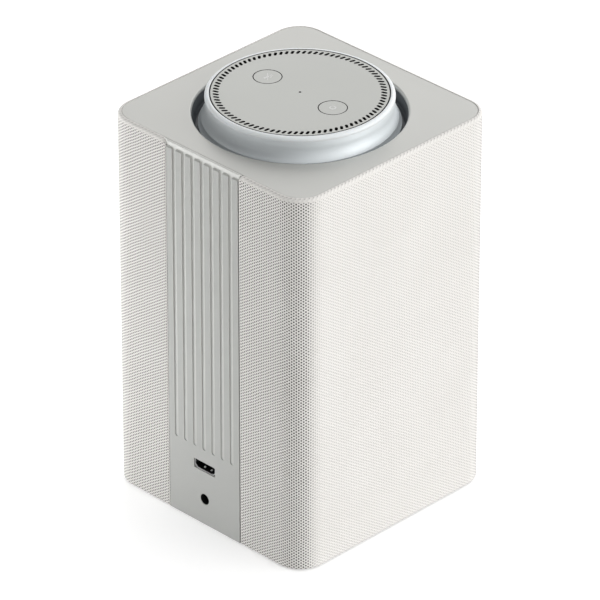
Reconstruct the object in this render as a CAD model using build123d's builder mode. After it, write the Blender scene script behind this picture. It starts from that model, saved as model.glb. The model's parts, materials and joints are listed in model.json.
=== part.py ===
"""Smart speaker, built as its separate pieces.

Frame: millimetres, +Z up, origin under the middle of the foot, front face on -Y,
ribbed rear panel on +Y.  The volume wheel turns about the Z axis.
"""
from build123d import *
import os
from math import cos, radians, sin

# ---------------------------------------------------------------- outer form
BODY_WIDTH = 141.0
BODY_CORNER = 15.5
TOTAL_HEIGHT = 231.0
CLOTH_THICK = 1.6
CLOTH_BOTTOM = 0.8
CLOTH_TOP = 220.5
HEM_WIDTH = 4.5
CLOTH_CORNER = 3.0
CLEARANCE = 0.1

# ---------------------------------------------------------------- top plate and wheel
PLATE_WIDTH = 137.0
PLATE_CORNER = 13.5
PLATE_TOP = 220.4
PLATE_THICK = 1.8
PLATE_BOTTOM = PLATE_TOP - PLATE_THICK
PLATE_HOLE_R = 55.6
PLATE_HOLE_ROUND = 1.2
DISC_R = 45.85
DISC_TOP = 230.9
DISC_THICK = 1.8
DISC_BOTTOM = DISC_TOP - DISC_THICK
WHEEL_BORE_R = 46.2
WHEEL_TOP_R = 48.5
WHEEL_WAIST_R = 50.8
WHEEL_SKIRT_R = 52.3
LIGHT_RING_BOTTOM = 228.6
HUB_R = 44.0
HUB_RUNNING_GAP = 0.06
WELL_FLOOR = 213.0
WELL_EDGE_FLOOR = 212.0
TRENCH_FLOOR = 206.0
FLANGE_BOTTOM = 214.35
FLANGE_TOP = 216.5

# ---------------------------------------------------------------- buttons and microphone slots
BUTTON_R = 7.35
BUTTON_HOLE_R = 7.65
BUTTON_OFFSET = 23.5
BUTTON_FOOT = 224.9
SLOT_COUNT = 90
SLOT_RING_R = 43.1
SLOT_LENGTH = 3.4
SLOT_WIDTH = 1.6
SLOT_SLANT = 25.0
MIC_RING_R = 41.6
MIC_COUNT = 6
MIC_HOLE_R = 0.7
LED_COUNT = 12
BOARD_BOTTOM = 221.4
BOARD_THICK = 1.6
BOARD_TOP = BOARD_BOTTOM + BOARD_THICK

# ---------------------------------------------------------------- rear panel
PANEL_WIDTH = 51.7
PANEL_FACE_Y = BODY_WIDTH / 2
PANEL_BACK_Y = 66.5
PANEL_BOTTOM = 1.0
CLOTH_OPENING = PANEL_WIDTH + 0.8
STRIP_COUNT = 8
STRIP_WIDTH = 4.2
STRIP_TOP = 217.6
GROOVE_PITCH = (PANEL_WIDTH - STRIP_WIDTH) / (STRIP_COUNT - 1)
GROOVE_WIDTH = GROOVE_PITCH - STRIP_WIDTH
GROOVE_BOTTOM = 46.5
GROOVE_DEPTH_LOW = 0.4
GROOVE_DEPTH_HIGH = 0.95
LIP_TOP = 220.3
HDMI_Z = 36.0
JACK_Z = 16.4
JACK_HOLE_R = 3.15

# ---------------------------------------------------------------- grille frame, base and chassis
GRILLE_OUTER = BODY_WIDTH - 2 * CLOTH_THICK
GRILLE_THICK = 1.8
GRILLE_INNER = GRILLE_OUTER - 2 * GRILLE_THICK
REAR_OPENING = 55.0
BASE_BOTTOM = 1.9
BASE_TOP = 5.0
CHASSIS_WIDTH = GRILLE_INNER - 0.4
CHASSIS_BOTTOM = 187.0
CHASSIS_WALL = 2.0

# ---------------------------------------------------------------- acoustic enclosure
BOX_HALF_X = 60.0
BOX_FRONT_Y = -60.0
BOX_REAR_Y = 48.0
BOX_WALL = 3.0
BOX_CORNER = 6.0
BOX_TOP = 183.0
SEAL_THICK = 0.8
LID_BOTTOM = BOX_TOP + SEAL_THICK

# ---------------------------------------------------------------- loudspeakers
WOOFER_Z = 62.0
WOOFER_FLANGE_R = 50.5
WOOFER_HOLE_R = 46.0
WOOFER_CONE_R = 38.4
WOOFER_BOLT_R = 48.3
FORMER_R = 16.3
TWEETER_X = 27.0
TWEETER_Z = 142.0
TWEETER_FACE_R = 17.0
TWEETER_HOLE_R = 13.0
DOME_R = 10.0
RADIATOR_Y = -6.0
RADIATOR_Z = 118.0
RADIATOR_FLANGE_R = 47.5
RADIATOR_HOLE_R = 43.0
RADIATOR_PLATE_R = 35.6
RADIATOR_BOLT_R = 45.4

# ---------------------------------------------------------------- fasteners
SCREW_R = 1.2
SCREW_HOLE_R = 1.25
SCREW_HEAD_R = 2.2
SCREW_HEAD_H = 1.4

# ---------------------------------------------------------------- main board
MAIN_BOARD_Y = 54.4
MAIN_BOARD_REAR = MAIN_BOARD_Y + 1.6
MAIN_BOARD_Z = (10.0, 118.0)
MAIN_BOARD_WIDTH = 54.0
POST_SPOTS = [(-23, 14), (23, 14), (-23, 114), (23, 114)]

os.makedirs("parts", exist_ok=True)


def save(piece, label):
    """Name a finished piece and write it to its own file."""
    piece.part.label = label
    export_step(piece.part, f"parts/{label}.step")


def outline(points, plane=Plane.XZ):
    """Closed straight-sided outline on a plane, ready to revolve or extrude."""
    with BuildSketch(plane) as sketch:
        with BuildLine():
            Polyline(*points, close=True)
        make_face()
    return sketch.sketch


def front_plane(x, z, y=BOX_FRONT_Y):
    """Plane facing forward (-Y), centred on a driver: local z runs out of the front."""
    return Plane(origin=(x, y, z), x_dir=(1, 0, 0), z_dir=(0, -1, 0))


def side_plane(side, x=BOX_HALF_X):
    """Plane facing out of one side wall, centred on its passive radiator."""
    return Plane(origin=(side * x, RADIATOR_Y, RADIATOR_Z), x_dir=(0, side, 0), z_dir=(side, 0, 0))


def section_plane(plane):
    """Plane through a driver's axis: local x is the radius, local y runs out of the cabinet."""
    return Plane(origin=plane.origin, x_dir=plane.x_dir, z_dir=-plane.y_dir)


def dome_section(plane, top, rim_radius, rim_height, thickness):
    """Half section of a thin spherical cap, on a section plane."""
    depth = top - rim_height
    radius = (rim_radius**2 + depth**2) / (2 * depth)
    with BuildSketch(plane) as sketch:
        with Locations((0, top - radius)):
            Circle(radius)
            Circle(radius - thickness, mode=Mode.SUBTRACT)
        with Locations((0, rim_height)):
            Rectangle(rim_radius, depth + 1, align=(Align.MIN, Align.MIN), mode=Mode.INTERSECT)
    return sketch.sketch


def hdmi_outline(grow, plane):
    """Socket outline with its two lower corners cut off, larger than the plug by grow."""
    x, z = 7.1 + grow, 2.25 + grow
    return outline([
        (x, HDMI_Z + z), (-x, HDMI_Z + z), (-x, HDMI_Z - z + 1.5), (-x + 1.5, HDMI_Z - z),
        (x - 1.5, HDMI_Z - z), (x, HDMI_Z - z + 1.5),
    ], plane)


# ================================================================ cloth, frame and base
with BuildPart() as fabric_sleeve:
    with BuildSketch(Plane.XY.offset(CLOTH_BOTTOM)):
        RectangleRounded(BODY_WIDTH, BODY_WIDTH, BODY_CORNER)
    extrude(amount=CLOTH_TOP - CLOTH_BOTTOM)
    fillet(fabric_sleeve.faces().sort_by(Axis.Z)[-1].edges(), 1.9)
    fillet(fabric_sleeve.faces().sort_by(Axis.Z)[0].edges(), 0.9)
    with BuildSketch(Plane.XY.offset(CLOTH_BOTTOM + 1.0)):
        RectangleRounded(GRILLE_OUTER, GRILLE_OUTER, BODY_CORNER - CLOTH_THICK)
    extrude(amount=PLATE_BOTTOM - CLOTH_BOTTOM - 1.0, mode=Mode.SUBTRACT)
    with BuildSketch(Plane.XY.offset(CLOTH_BOTTOM)):
        RectangleRounded(BODY_WIDTH - 2 * HEM_WIDTH, BODY_WIDTH - 2 * HEM_WIDTH, BODY_CORNER - HEM_WIDTH)
    extrude(amount=10, mode=Mode.SUBTRACT)
    with BuildSketch(Plane.XY.offset(PLATE_BOTTOM - 1)):
        RectangleRounded(PLATE_WIDTH + CLEARANCE, PLATE_WIDTH + CLEARANCE, PLATE_CORNER)
    extrude(amount=10, mode=Mode.SUBTRACT)
    with BuildSketch(Plane.XZ):
        with Locations((0, CLOTH_TOP / 2)):
            Rectangle(CLOTH_OPENING, CLOTH_TOP + 2)
        for side in (-1, 1):
            corner = (side * (CLOTH_OPENING / 2 + CLOTH_CORNER), CLOTH_TOP - CLOTH_CORNER)
            with Locations((corner[0], CLOTH_TOP)):
                Rectangle(2 * CLOTH_CORNER, 2 * CLOTH_CORNER)
            with Locations((corner[0] + side * CLOTH_CORNER, CLOTH_TOP)):
                Rectangle(2 * CLOTH_CORNER, 2 * CLOTH_CORNER + 0.02, mode=Mode.SUBTRACT)
            with Locations(corner):
                Circle(CLOTH_CORNER, mode=Mode.SUBTRACT)
    extrude(amount=-BODY_WIDTH, mode=Mode.SUBTRACT)
save(fabric_sleeve, "fabric_sleeve")

with BuildPart() as grille_frame:
    with BuildSketch(Plane.XY.offset(BASE_TOP)):
        RectangleRounded(GRILLE_OUTER, GRILLE_OUTER, BODY_CORNER - CLOTH_THICK)
        RectangleRounded(GRILLE_INNER, GRILLE_INNER, BODY_CORNER - CLOTH_THICK - GRILLE_THICK,
                         mode=Mode.SUBTRACT)
    extrude(amount=PLATE_BOTTOM - BASE_TOP - 0.1)
    with BuildSketch(Plane.XZ):
        with Locations((0, CLOTH_TOP / 2)):
            Rectangle(REAR_OPENING, CLOTH_TOP + 20)
    extrude(amount=-BODY_WIDTH, mode=Mode.SUBTRACT)
    with BuildSketch(Plane.XZ.offset(BODY_WIDTH / 2 + 5)):
        with Locations((0, WOOFER_Z + 2), (0, TWEETER_Z)):
            with GridLocations(8, 22, 11, 3):
                SlotOverall(18, 4.5, rotation=90)
    extrude(amount=-20, mode=Mode.SUBTRACT)
    with BuildSketch(Plane.YZ):
        with Locations((RADIATOR_Y, RADIATOR_Z)):
            with GridLocations(8, 22, 11, 4):
                SlotOverall(18, 4.5, rotation=90)
    extrude(amount=BODY_WIDTH, both=True, mode=Mode.SUBTRACT)
save(grille_frame, "grille_frame")

BASE_SCREW_SPOTS = [(x, y) for x in (-51, 51) for y in (-51, 39)]
with BuildPart() as base_plate:
    with BuildSketch(Plane.XY.offset(BASE_BOTTOM)):
        RectangleRounded(GRILLE_OUTER - CLEARANCE, GRILLE_OUTER - CLEARANCE, BODY_CORNER - CLOTH_THICK)
        with Locations((0, PANEL_BACK_Y + 5)):
            Rectangle(REAR_OPENING, 10.4, mode=Mode.SUBTRACT)
    extrude(amount=BASE_TOP - BASE_BOTTOM)
    with BuildSketch(Plane.XY.offset(BASE_BOTTOM)):
        RectangleRounded(118.4, 118.4, 14.2)
        RectangleRounded(99.6, 99.6, 4.8, mode=Mode.SUBTRACT)
    extrude(amount=0.8, mode=Mode.SUBTRACT)
    with Locations(Plane(origin=(0, 0, BASE_BOTTOM + 0.8), x_dir=(1, 0, 0), z_dir=(0, 0, -1))):
        with Locations(*[(x, -y) for x, y in BASE_SCREW_SPOTS]):
            CounterBoreHole(SCREW_HOLE_R, SCREW_HEAD_R + 0.15, SCREW_HEAD_H + 0.1)
save(base_plate, "base_plate")

with BuildPart() as rubber_foot:
    with BuildSketch():
        RectangleRounded(118, 118, 14)
        RectangleRounded(100, 100, 5, mode=Mode.SUBTRACT)
    extrude(amount=BASE_BOTTOM + 0.8)
    chamfer(rubber_foot.faces().sort_by(Axis.Z)[0].edges(), 0.4)
save(rubber_foot, "rubber_foot")

# ================================================================ rear panel
groove_rise = STRIP_TOP - GROOVE_BOTTOM
band_y = PANEL_FACE_Y - GROOVE_DEPTH_HIGH
lip_back = PLATE_WIDTH / 2 + CLEARANCE
with BuildPart() as rear_panel:
    with BuildSketch(Plane.XZ.offset(-PANEL_BACK_Y)):
        with Locations((0, (PANEL_BOTTOM + PLATE_BOTTOM - 0.1) / 2)):
            Rectangle(PANEL_WIDTH, PLATE_BOTTOM - 0.1 - PANEL_BOTTOM)
    extrude(amount=-(PANEL_FACE_Y - PANEL_BACK_Y))
    # hidden side flanges behind the edges of the cloth
    with BuildSketch(Plane.XZ.offset(-PANEL_BACK_Y)):
        with Locations((0, (PANEL_BOTTOM + BASE_TOP + PLATE_BOTTOM) / 2)):
            Rectangle(REAR_OPENING - 0.6, PLATE_BOTTOM - BASE_TOP - PANEL_BOTTOM - 1)
    extrude(amount=-2.2)
    # thin lip that stands up in front of the edge of the top plate, its top edge bevelled
    with BuildSketch(Plane.YZ):
        with BuildLine():
            Polyline(
                (lip_back, PLATE_BOTTOM - 1), (band_y, PLATE_BOTTOM - 1), (band_y, LIP_TOP - 0.35),
                (band_y - 0.35, LIP_TOP), (lip_back, LIP_TOP), close=True,
            )
        make_face()
    extrude(amount=PANEL_WIDTH / 2, both=True)
    # its ends flare out under the rounded corners of the cloth
    with BuildSketch(Plane.XZ.offset(-lip_back)):
        for side in (-1, 1):
            with Locations((side * (PANEL_WIDTH + CLOTH_CORNER) / 2, LIP_TOP - CLOTH_CORNER / 2)):
                Rectangle(CLOTH_CORNER, CLOTH_CORNER)
            with Locations((side * (CLOTH_OPENING / 2 + CLOTH_CORNER), CLOTH_TOP - CLOTH_CORNER)):
                Circle(CLOTH_CORNER + 0.4, mode=Mode.SUBTRACT)
    extrude(amount=-(band_y - lip_back))
    # recessed band above the strips
    with BuildSketch(Plane.XZ.offset(-band_y)):
        with Locations((0, (STRIP_TOP + CLOTH_TOP + 1) / 2)):
            Rectangle(PANEL_WIDTH + 2, CLOTH_TOP + 1 - STRIP_TOP)
    extrude(amount=-5, mode=Mode.SUBTRACT)
    # grooves, cut on a plane that deepens towards the top
    floor = Plane(
        origin=(0, PANEL_FACE_Y - GROOVE_DEPTH_LOW, GROOVE_BOTTOM),
        x_dir=(-1, 0, 0),
        z_dir=(0, groove_rise, GROOVE_DEPTH_HIGH - GROOVE_DEPTH_LOW),
    )
    with BuildSketch(floor):
        with Locations((0, groove_rise / 2 + 5)):
            with GridLocations(GROOVE_PITCH, 0, STRIP_COUNT - 1, 1):
                SlotOverall(groove_rise + 10, GROOVE_WIDTH, rotation=90)
    extrude(amount=5, mode=Mode.SUBTRACT)
    strip_ends = rear_panel.edges().filter_by(Axis.X).filter_by_position(
        Axis.Z, STRIP_TOP - 0.01, STRIP_TOP + 0.01).filter_by_position(
        Axis.Y, PANEL_FACE_Y - 0.01, PANEL_FACE_Y + 0.01)
    chamfer(strip_ends, 0.7)
    # openings for the sockets
    with BuildSketch(Plane.XZ.offset(-PANEL_FACE_Y - 1)):
        with Locations((0, HDMI_Z)):
            RectangleRounded(15.6, 5.8, 1.0)
        with Locations((0, JACK_Z)):
            Circle(JACK_HOLE_R)
    extrude(amount=10, mode=Mode.SUBTRACT)
    # pedestal that takes the heat from the processor
    with BuildSketch(Plane.XZ.offset(-(MAIN_BOARD_REAR + 3.1))):
        with Locations((0, 84)):
            Rectangle(26, 26)
    extrude(amount=-(PANEL_BACK_Y - MAIN_BOARD_REAR - 3.1))
    # inner cooling fins
    with BuildSketch(Plane.XZ.offset(-61)):
        with Locations((0, 165)):
            with GridLocations(8, 0, 6, 1):
                Rectangle(1.5, 76)
    extrude(amount=-(PANEL_BACK_Y - 61))
save(rear_panel, "rear_panel")

# ================================================================ top plate and chassis
with BuildPart() as top_plate:
    with BuildSketch(Plane.XY.offset(PLATE_BOTTOM)):
        RectangleRounded(PLATE_WIDTH, PLATE_WIDTH, PLATE_CORNER)
        Circle(PLATE_HOLE_R, mode=Mode.SUBTRACT)
    extrude(amount=PLATE_THICK)
    upper_edges = top_plate.faces().sort_by(Axis.Z)[-1].edges()
    hole_edge = upper_edges.filter_by(GeomType.CIRCLE).sort_by(SortBy.RADIUS)[-1]
    chamfer([edge for edge in upper_edges if edge != hole_edge], 0.3)
    fillet(hole_edge, PLATE_HOLE_ROUND)
save(top_plate, "top_plate")

ROTARY_SCREW_SPOTS = [(60.2 * cos(radians(a)), 60.2 * sin(radians(a))) for a in (45, 135, 225, 315)]
LID_SCREW_SPOTS = [(x, y) for x in (-52, 52) for y in (-52, 40)]
with BuildPart() as top_chassis:
    with BuildSketch(Plane.XY.offset(CHASSIS_BOTTOM)):
        RectangleRounded(CHASSIS_WIDTH, CHASSIS_WIDTH, 12.0)
    extrude(amount=PLATE_BOTTOM - CHASSIS_BOTTOM)
    with BuildSketch(Plane.XY.offset(CHASSIS_BOTTOM + CHASSIS_WALL)):
        RectangleRounded(CHASSIS_WIDTH - 2 * CHASSIS_WALL, CHASSIS_WIDTH - 2 * CHASSIS_WALL, 10.0)
    extrude(amount=40, mode=Mode.SUBTRACT)
    # rear edge is cut back for the panel, floor is slotted for the flat cable
    with BuildSketch(Plane.XY.offset(CHASSIS_BOTTOM)):
        with Locations((0, 66)):
            Rectangle(REAR_OPENING + 1, 10.4)
        with Locations((0, 55)):
            Rectangle(16, 5)
    extrude(amount=40, mode=Mode.SUBTRACT)
    # posts under the rotary base
    with BuildSketch(Plane.XY.offset(CHASSIS_BOTTOM + CHASSIS_WALL)):
        with Locations(*ROTARY_SCREW_SPOTS):
            Circle(3.0)
    extrude(amount=216.7 - CHASSIS_BOTTOM - CHASSIS_WALL)
    with BuildSketch(Plane.XY.offset(216.7)):
        with Locations(*ROTARY_SCREW_SPOTS):
            Circle(SCREW_HOLE_R)
    extrude(amount=-8, mode=Mode.SUBTRACT)
    with BuildSketch(Plane.XY.offset(CHASSIS_BOTTOM)):
        with Locations(*LID_SCREW_SPOTS):
            Circle(SCREW_HOLE_R)
    extrude(amount=CHASSIS_WALL, mode=Mode.SUBTRACT)
save(top_chassis, "top_chassis")

# ================================================================ rotary unit
well_profile = [
    (63.6, PLATE_BOTTOM - 0.05), (PLATE_HOLE_R, PLATE_BOTTOM - 0.05), (54.6, 213.2),
    (53.6, WELL_EDGE_FLOOR), (49.4, WELL_EDGE_FLOOR), (49.4, TRENCH_FLOOR), (46.0, TRENCH_FLOOR),
    (46.0, WELL_FLOOR), (38.0, WELL_FLOOR), (38.0, 211.2), (44.3, 211.2), (44.3, 204.4), (51.0, 204.4),
    (51.0, 210.2), (54.9, 210.2), (56.9, 216.7), (63.6, 216.7),
]
with BuildPart() as rotary_base:
    revolve(outline(well_profile), axis=Axis.Z)
    with BuildSketch(Plane.XY.offset(216.7)):
        with Locations(*ROTARY_SCREW_SPOTS):
            Circle(SCREW_HOLE_R)
    extrude(amount=5, mode=Mode.SUBTRACT)
    with BuildSketch(Plane.XY.offset(PLATE_BOTTOM)):
        with Locations(*ROTARY_SCREW_SPOTS):
            Circle(SCREW_HEAD_R + 0.1)
    extrude(amount=-0.9, mode=Mode.SUBTRACT)
save(rotary_base, "rotary_base")

with BuildPart() as glide_ring:
    revolve(outline([(44.2, WELL_FLOOR), (45.8, WELL_FLOOR), (45.8, 214.2), (44.2, 214.2)]), axis=Axis.Z)
save(glide_ring, "glide_ring")

with BuildPart() as disc_carrier:
    revolve(outline([
        (39.0, WELL_FLOOR), (HUB_R, WELL_FLOOR), (HUB_R, 216.8), (45.6, 216.8), (45.6, 219.0),
        (41.0, 219.0), (41.0, 217.3), (42.4, 217.3), (42.4, 214.5), (39.0, 214.5),
    ]), axis=Axis.Z)
save(disc_carrier, "disc_carrier")

with BuildPart() as light_guide:
    revolve(outline([
        (43.4, 219.0), (45.6, 219.0), (45.6, DISC_BOTTOM), (44.8, DISC_BOTTOM),
        (44.8, BOARD_BOTTOM), (43.4, BOARD_BOTTOM),
    ]), axis=Axis.Z)
save(light_guide, "light_guide")

with BuildPart() as volume_ring:
    with BuildSketch(Plane.XZ):
        with BuildLine():
            Polyline(
                (WHEEL_SKIRT_R, 214.3), (WHEEL_SKIRT_R, 213.6), (51.9, 213.2), (51.3, 213.2),
                (49.9, 216.8), (48.4, 222.0), (47.0, 222.0), (47.0, FLANGE_BOTTOM),
                (HUB_R + HUB_RUNNING_GAP, FLANGE_BOTTOM), (HUB_R + HUB_RUNNING_GAP, FLANGE_TOP),
                (WHEEL_BORE_R, FLANGE_TOP), (WHEEL_BORE_R, LIGHT_RING_BOTTOM),
                (WHEEL_TOP_R, LIGHT_RING_BOTTOM), (WHEEL_TOP_R + 0.1, 225.5),
            )
            ThreePointArc((WHEEL_TOP_R + 0.1, 225.5), (49.05, 221.2), (WHEEL_WAIST_R, 217.4))
            Line((WHEEL_WAIST_R, 217.4), (WHEEL_WAIST_R + 0.05, 217.0))
            ThreePointArc((WHEEL_WAIST_R + 0.05, 217.0), (51.35, 215.5), (WHEEL_SKIRT_R, 214.3))
        make_face()
    revolve(axis=Axis.Z)
save(volume_ring, "volume_ring")

with BuildPart() as light_ring:
    with BuildSketch(Plane.XZ):
        with BuildLine():
            Polyline(
                (47.3, TOTAL_HEIGHT), (46.65, TOTAL_HEIGHT), (46.35, 230.6),
                (46.35, LIGHT_RING_BOTTOM), (48.95, LIGHT_RING_BOTTOM), (48.95, 229.3),
            )
            RadiusArc((48.95, 229.3), (47.3, TOTAL_HEIGHT), -1.75)
        make_face()
    revolve(axis=Axis.Z)
save(light_ring, "light_ring")

COMB_SLOTS = 60
with BuildPart() as encoder_comb:
    revolve(outline([(47.05, 208.0), (47.65, 208.0), (47.65, 222.0), (47.05, 222.0)]), axis=Axis.Z)
    with BuildSketch(Plane.XY.offset(208.0)):
        with PolarLocations(47.35, COMB_SLOTS):
            Rectangle(3, 2.4)
    extrude(amount=3.6, mode=Mode.SUBTRACT)
save(encoder_comb, "encoder_comb")

with BuildPart() as encoder_sensor:
    with BuildSketch(Plane.XY.offset(TRENCH_FLOOR)):
        with Locations((0, -47.6)):
            Rectangle(5, 2.8)
    extrude(amount=1.6)
    with BuildSketch(Plane.XY.offset(TRENCH_FLOOR)):
        with Locations((0, -46.5), (0, -48.6)):
            Rectangle(5, 0.6)
    extrude(amount=6.4)
save(encoder_sensor, "encoder_sensor")

# ================================================================ disc, buttons and top board
with BuildPart() as mic_disc:
    with BuildSketch(Plane.XY.offset(DISC_BOTTOM)):
        Circle(DISC_R)
        with Locations((-BUTTON_OFFSET, 0), (BUTTON_OFFSET, 0)):
            Circle(BUTTON_HOLE_R, mode=Mode.SUBTRACT)
        Circle(MIC_HOLE_R, mode=Mode.SUBTRACT)
        with PolarLocations(SLOT_RING_R, SLOT_COUNT):
            SlotOverall(SLOT_LENGTH, SLOT_WIDTH, rotation=-SLOT_SLANT, mode=Mode.SUBTRACT)
    extrude(amount=DISC_THICK)
save(mic_disc, "mic_disc")

for side, name in ((1, "mute_button"), (-1, "action_button")):
    with BuildPart() as button:
        with BuildSketch(Plane.XY.offset(DISC_BOTTOM - 1.0)):
            with Locations((side * BUTTON_OFFSET, 0)):
                Circle(BUTTON_R)
        extrude(amount=DISC_THICK + 1.0)
        fillet(button.faces().sort_by(Axis.Z)[-1].edges(), 0.25)
        with BuildSketch(Plane.XY.offset(DISC_BOTTOM - 1.3)):
            with Locations((side * BUTTON_OFFSET, 0)):
                Circle(BUTTON_R + 1.1)
        extrude(amount=1.2)
        with BuildSketch(Plane.XY.offset(BUTTON_FOOT)):
            with Locations((side * BUTTON_OFFSET, 0)):
                Circle(2.4)
        extrude(amount=DISC_BOTTOM - 1.3 - BUTTON_FOOT)
    save(button, name)

for side, name in ((1, "mute_switch_pad"), (-1, "action_switch_pad")):
    with BuildPart() as pad:
        with BuildSketch(Plane.XY.offset(BOARD_TOP)):
            with Locations((side * BUTTON_OFFSET, 0)):
                Circle(3.0)
        extrude(amount=BUTTON_FOOT - BOARD_TOP)
    save(pad, name)

with BuildPart() as top_board:
    with BuildSketch(Plane.XY.offset(BOARD_BOTTOM)):
        Circle(44.6)
    extrude(amount=BOARD_THICK)
save(top_board, "top_board")

with BuildPart() as microphones:
    with BuildSketch(Plane.XY.offset(BOARD_TOP)):
        Rectangle(3.5, 2.65)
        with PolarLocations(MIC_RING_R, MIC_COUNT):
            Rectangle(2.65, 3.5)
    extrude(amount=1.0)
save(microphones, "microphones")

with BuildPart() as ring_leds:
    with BuildSketch(Plane.XY.offset(BOARD_BOTTOM - 1.0)):
        with PolarLocations(42.2, LED_COUNT, start_angle=15):
            Rectangle(1.6, 3.2)
    extrude(amount=1.0)
save(ring_leds, "ring_leds")

with BuildPart() as mic_gasket:
    with BuildSketch(Plane.XY.offset(BOARD_TOP)):
        Circle(44.6)
        Circle(38.6, mode=Mode.SUBTRACT)
        with PolarLocations(MIC_RING_R, MIC_COUNT):
            Circle(2.3, mode=Mode.SUBTRACT)
    extrude(amount=DISC_BOTTOM - BOARD_TOP)
save(mic_gasket, "mic_gasket")

# ================================================================ acoustic enclosure
box_centre_y = (BOX_FRONT_Y + BOX_REAR_Y) / 2
box_depth = BOX_REAR_Y - BOX_FRONT_Y
with BuildPart() as enclosure:
    with BuildSketch(Plane.XY.offset(BASE_TOP)):
        with Locations((0, box_centre_y)):
            RectangleRounded(2 * BOX_HALF_X, box_depth, BOX_CORNER)
    extrude(amount=BOX_TOP - BASE_TOP)
    with BuildSketch(Plane.XY.offset(BASE_TOP + BOX_WALL)):
        with Locations((0, box_centre_y)):
            RectangleRounded(2 * (BOX_HALF_X - BOX_WALL), box_depth - 2 * BOX_WALL, BOX_CORNER - BOX_WALL)
    extrude(amount=BOX_TOP, mode=Mode.SUBTRACT)
    with BuildSketch(Plane.XY.offset(BOX_TOP)):
        with Locations(*LID_SCREW_SPOTS):
            Rectangle(10.2, 10.2)
    extrude(amount=-12)
    with BuildSketch(Plane.XY.offset(BASE_TOP)):
        with Locations(*BASE_SCREW_SPOTS):
            Circle(4)
    extrude(amount=9)
    with BuildSketch(Plane.XY.offset(BOX_TOP)):
        with Locations(*LID_SCREW_SPOTS):
            Circle(SCREW_HOLE_R)
    extrude(amount=-9, mode=Mode.SUBTRACT)
    with BuildSketch(Plane.XY.offset(BASE_TOP)):
        with Locations(*BASE_SCREW_SPOTS):
            Circle(SCREW_HOLE_R)
    extrude(amount=8, mode=Mode.SUBTRACT)
    with BuildSketch(front_plane(0, 0)):
        with Locations((0, WOOFER_Z)):
            Circle(WOOFER_HOLE_R)
            with PolarLocations(WOOFER_BOLT_R, 4, start_angle=45):
                Circle(SCREW_HOLE_R)
        with Locations((TWEETER_X, TWEETER_Z), (-TWEETER_X, TWEETER_Z)):
            Circle(TWEETER_HOLE_R)
            with PolarLocations(15, 2):
                Circle(SCREW_HOLE_R)
    extrude(amount=-2 * BOX_WALL, mode=Mode.SUBTRACT)
    for side in (-1, 1):
        with BuildSketch(side_plane(side)):
            Circle(RADIATOR_HOLE_R)
            with PolarLocations(RADIATOR_BOLT_R, 4, start_angle=45):
                Circle(SCREW_HOLE_R)
        extrude(amount=-2 * BOX_WALL, mode=Mode.SUBTRACT)
    # posts for the main board on the rear wall
    with BuildSketch(Plane.XZ.offset(-BOX_REAR_Y)):
        with Locations(*POST_SPOTS):
            Circle(2.8)
    extrude(amount=-(MAIN_BOARD_Y - BOX_REAR_Y))
    with BuildSketch(Plane.XZ.offset(-MAIN_BOARD_Y)):
        with Locations(*POST_SPOTS):
            Circle(SCREW_HOLE_R)
    extrude(amount=6, mode=Mode.SUBTRACT)
save(enclosure, "enclosure")

with BuildPart() as lid_seal:
    with BuildSketch(Plane.XY.offset(BOX_TOP)):
        with Locations((0, box_centre_y)):
            RectangleRounded(2 * BOX_HALF_X - 0.6, box_depth - 0.6, BOX_CORNER - 0.3)
            RectangleRounded(2 * BOX_HALF_X - 5, box_depth - 5, BOX_CORNER - 2.5, mode=Mode.SUBTRACT)
    extrude(amount=SEAL_THICK)
save(lid_seal, "lid_seal")

with BuildPart() as enclosure_lid:
    with BuildSketch(Plane.XY.offset(LID_BOTTOM)):
        with Locations((0, box_centre_y)):
            RectangleRounded(2 * BOX_HALF_X, box_depth, BOX_CORNER)
        with Locations(*LID_SCREW_SPOTS):
            Circle(SCREW_HOLE_R, mode=Mode.SUBTRACT)
    extrude(amount=CHASSIS_BOTTOM - LID_BOTTOM)
save(enclosure_lid, "enclosure_lid")

# each set: plane the heads sit on, centres, head height, length
CHASSIS_SCREW_SETS = [
    (Plane.XY.offset(PLATE_BOTTOM - 0.9), ROTARY_SCREW_SPOTS, 0.7, 8),
    (Plane.XY.offset(CHASSIS_BOTTOM + CHASSIS_WALL), LID_SCREW_SPOTS, SCREW_HEAD_H, 12),
    (Plane(origin=(0, 0, BASE_BOTTOM + 2.3), x_dir=(1, 0, 0), z_dir=(0, 0, -1)),
     [(x, -y) for x, y in BASE_SCREW_SPOTS], SCREW_HEAD_H, 7),
    (Plane(origin=(0, MAIN_BOARD_REAR, 0), x_dir=(-1, 0, 0), z_dir=(0, 1, 0)),
     POST_SPOTS, SCREW_HEAD_H, 6),
]
with BuildPart() as chassis_screws:
    for plane, spots, head_height, length in CHASSIS_SCREW_SETS:
        with BuildSketch(plane):
            with Locations(*spots):
                Circle(SCREW_HEAD_R)
        extrude(amount=head_height)
        with BuildSketch(plane):
            with Locations(*spots):
                Circle(SCREW_R)
        extrude(amount=-length)
save(chassis_screws, "chassis_screws")

# ================================================================ woofer
# heights are measured outwards from the front wall, so the inside of the box is negative
woofer = front_plane(0, WOOFER_Z)
woofer_section = section_plane(woofer)
woofer_axis = Axis(woofer.origin, woofer.z_dir)
with BuildPart() as woofer_gasket:
    with BuildSketch(woofer):
        Circle(WOOFER_FLANGE_R - 0.3)
        Circle(WOOFER_HOLE_R, mode=Mode.SUBTRACT)
        with PolarLocations(WOOFER_BOLT_R, 4, start_angle=45):
            Circle(SCREW_HOLE_R, mode=Mode.SUBTRACT)
    extrude(amount=0.8)
save(woofer_gasket, "woofer_gasket")

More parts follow.
